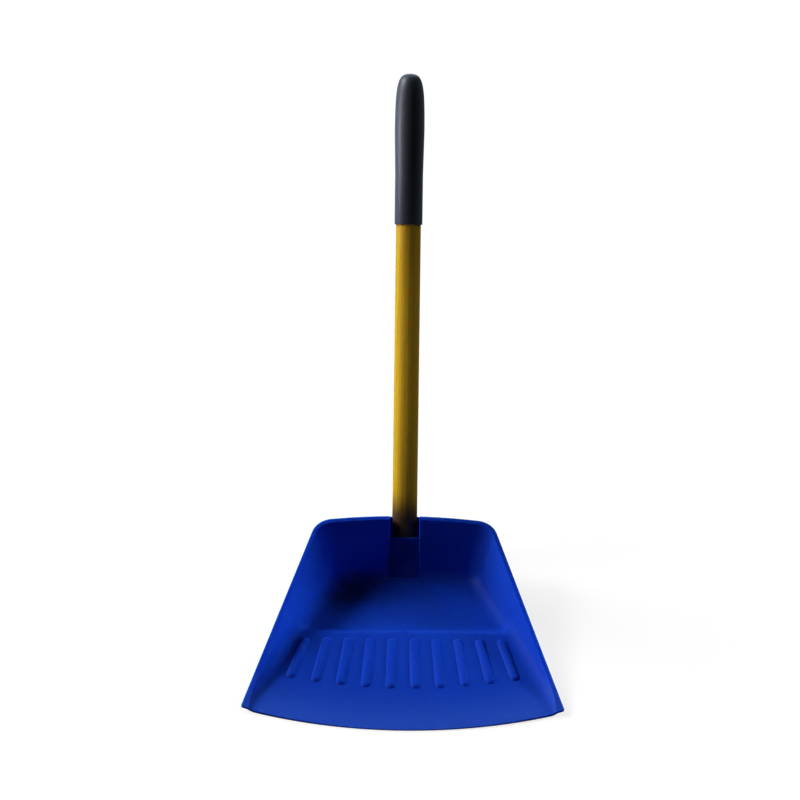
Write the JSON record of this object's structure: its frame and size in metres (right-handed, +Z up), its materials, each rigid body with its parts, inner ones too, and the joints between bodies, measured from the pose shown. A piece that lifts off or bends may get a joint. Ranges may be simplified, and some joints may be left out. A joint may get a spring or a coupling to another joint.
{
  "type": "dustpan",
  "caption": "Ribbed plastic dustpan with leaning walls and a bowed lip; a wooden handle with a soft grip leans back from a socket in the back wall and pulls out.",
  "frame": {"origin": "on the ground under the middle of the flat sole behind the pan's ridge", "axes": "+Z up, +Y from the lip towards the back wall, +X to the right seen from the lip"},
  "size_m": [0.308, 0.5172, 0.4332],
  "materials": {
    "pan_plastic": "satin moulded blue polypropylene",
    "handle_wood": "yellow varnished softwood",
    "grip_rubber": "satin black soft grip"
  },
  "bodies": {
    "pan": {"pan": "pan_plastic"},
    "handle": {"handle_stick": "handle_wood", "handle_grip": "grip_rubber"}
  },
  "joints": [
    {"name": "handle_pull", "type": "slide", "parent": "pan", "child": "handle", "axis": [0, 0.5, 0.866], "range_m": [0, 0.06]}
  ]
}
